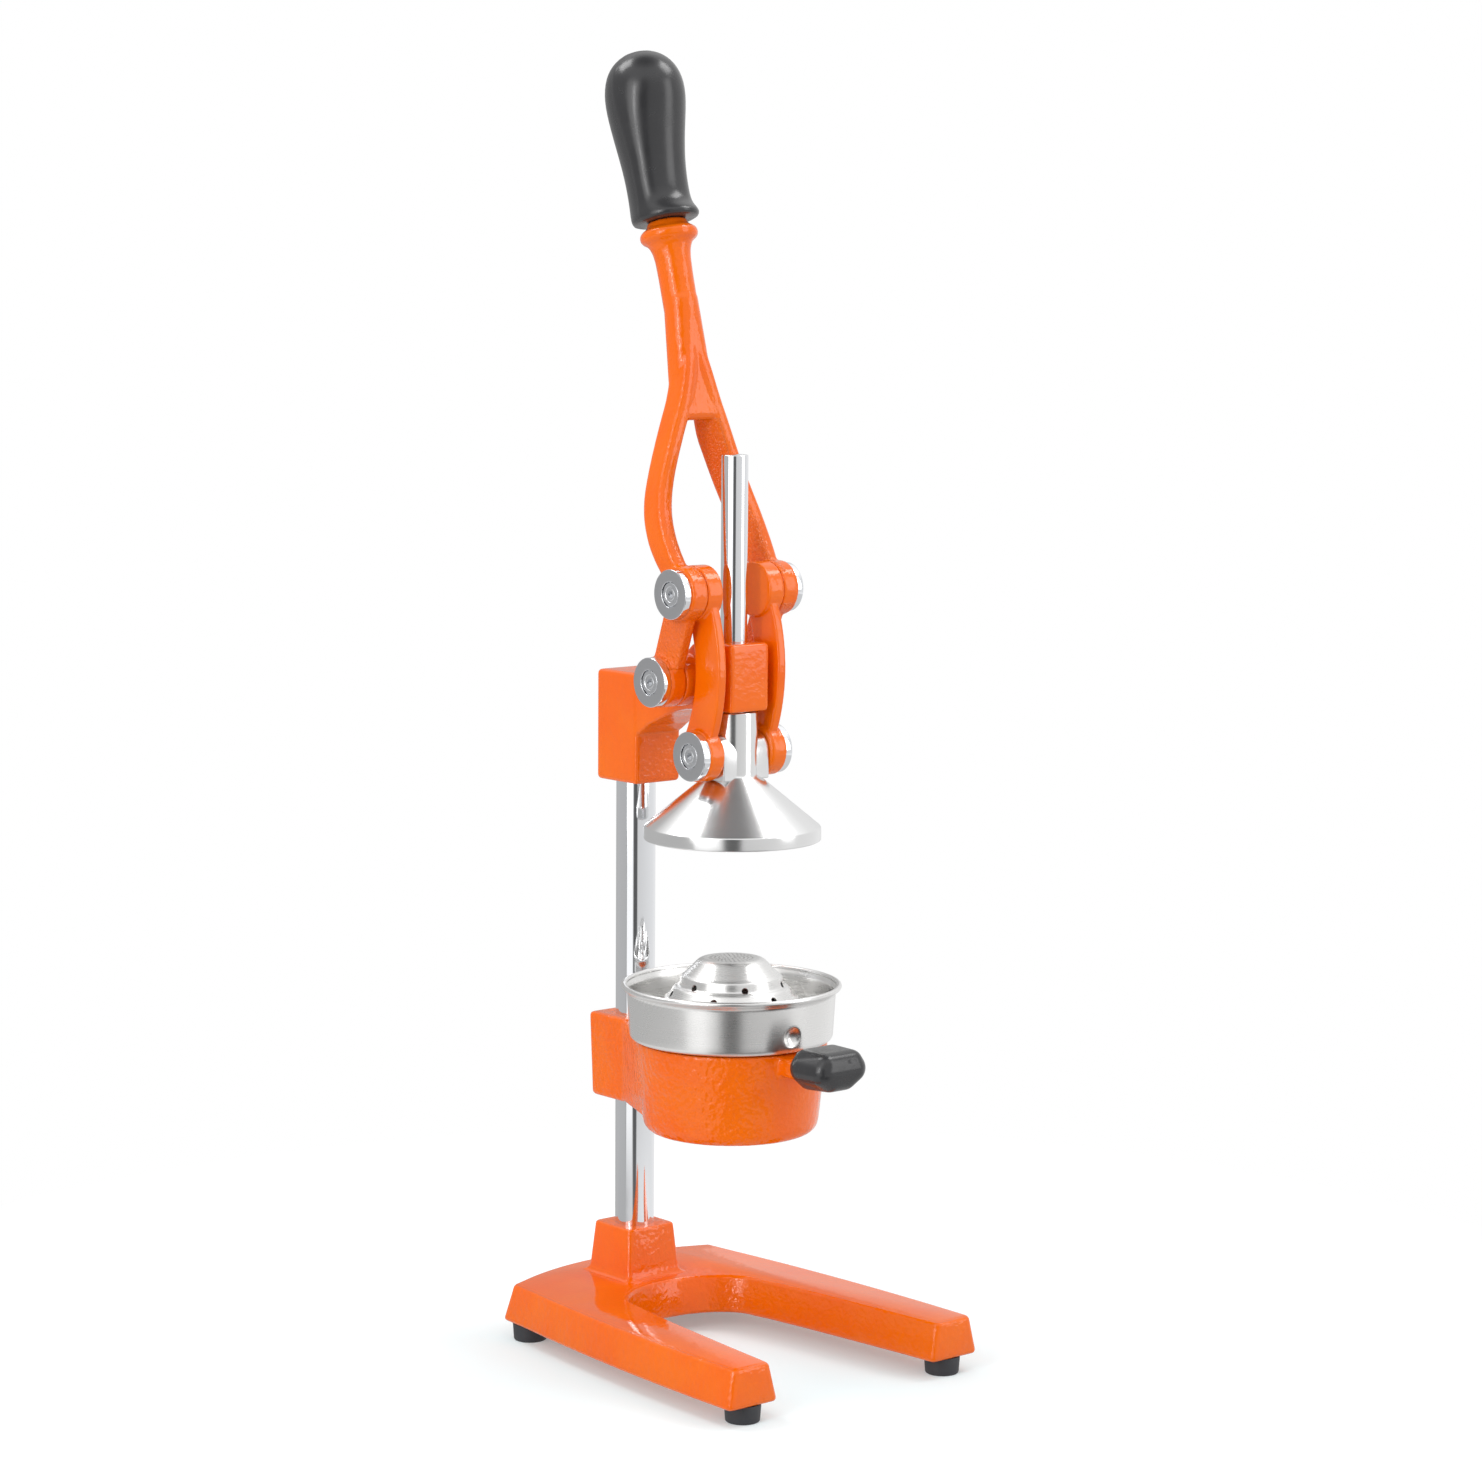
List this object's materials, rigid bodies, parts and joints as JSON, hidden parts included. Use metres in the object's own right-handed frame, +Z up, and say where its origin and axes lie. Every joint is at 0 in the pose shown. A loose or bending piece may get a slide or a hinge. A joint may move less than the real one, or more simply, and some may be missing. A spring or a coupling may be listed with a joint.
{
  "type": "lever citrus juice press",
  "caption": "Bench-top lever press for citrus: a forked lever drives a hollow cone down a guided rod onto a perforated strainer in a bowl over a space for a glass.",
  "frame": {"origin": "on the ground, under the middle of the press's overall box", "axes": "+X across to the press's right when it is seen from the front, -Y towards the user, +Z up"},
  "size_m": [0.184, 0.2402, 0.7406],
  "materials": {
    "orange_enamel": "gloss enamel over a cast surface",
    "chrome": "polished",
    "steel": "machined",
    "black_steel": "black oxide",
    "stainless": "satin, spun",
    "aluminium": "turned and polished",
    "brass": "machined",
    "rubber": "matt",
    "grip_plastic": "semi-gloss"
  },
  "bodies": {
    "stand": {"base_casting": "orange_enamel", "foot_front_left": "rubber", "foot_front_right": "rubber", "foot_rear_left": "rubber", "foot_rear_right": "rubber", "foot_screws": "steel", "column": "chrome", "column_bolt": "steel", "column_washer": "steel", "pot_carrier": "orange_enamel", "carrier_set_screws": "black_steel", "pot_grip": "grip_plastic", "pot_grip_stud": "steel", "juice_bowl": "stainless", "strainer": "stainless", "head_bracket": "orange_enamel", "head_set_screws": "black_steel", "guide_bush_upper": "brass", "guide_bush_lower": "brass", "pivot_pin": "steel", "pivot_cap_left": "chrome", "pivot_cap_right": "chrome", "pivot_screws": "steel"},
    "lever": {"lever_casting": "orange_enamel", "lever_stud": "steel", "grip_insert": "brass", "lever_grip": "grip_plastic", "crank_pin_left": "steel", "crank_pin_right": "steel", "crank_cap_left": "chrome", "crank_cap_right": "chrome", "crank_screws": "steel"},
    "link_left": {"link_left": "orange_enamel", "cone_pin_left": "steel", "cone_cap_left": "chrome", "cone_screw_left": "steel"},
    "link_right": {"link_right": "orange_enamel", "cone_pin_right": "steel", "cone_cap_right": "chrome", "cone_screw_right": "steel"},
    "plunger": {"plunger_rod": "chrome", "press_cone": "aluminium", "cone_washer": "steel", "cone_screw": "steel"}
  },
  "joints": [
    {"name": "lever_swing", "type": "hinge", "parent": "stand", "child": "lever", "pos_m": [0, 0.012, 0.3895], "axis": [1, 0, 0], "range_deg": [0, 115]},
    {"name": "link_left_swing", "type": "hinge", "parent": "lever", "child": "link_left", "pos_m": [0, -0.00549, 0.44001], "axis": [1, 0, 0], "range_deg": [-101.9, 0]},
    {"name": "link_right_swing", "type": "hinge", "parent": "lever", "child": "link_right", "pos_m": [0, -0.00549, 0.44001], "axis": [1, 0, 0], "range_deg": [-101.9, 0]},
    {"name": "plunger_slide", "type": "slide", "parent": "stand", "child": "plunger", "axis": [0, 0, -1], "range_m": [0, 0.0863]}
  ],
  "couplings": [
    {"joint": "plunger_slide", "follows": "lever_swing", "m_per_rad": 0.042963},
    {"joint": "link_left_swing", "follows": "lever_swing", "ratio": -0.88495},
    {"joint": "link_right_swing", "follows": "lever_swing", "ratio": -0.88495}
  ]
}
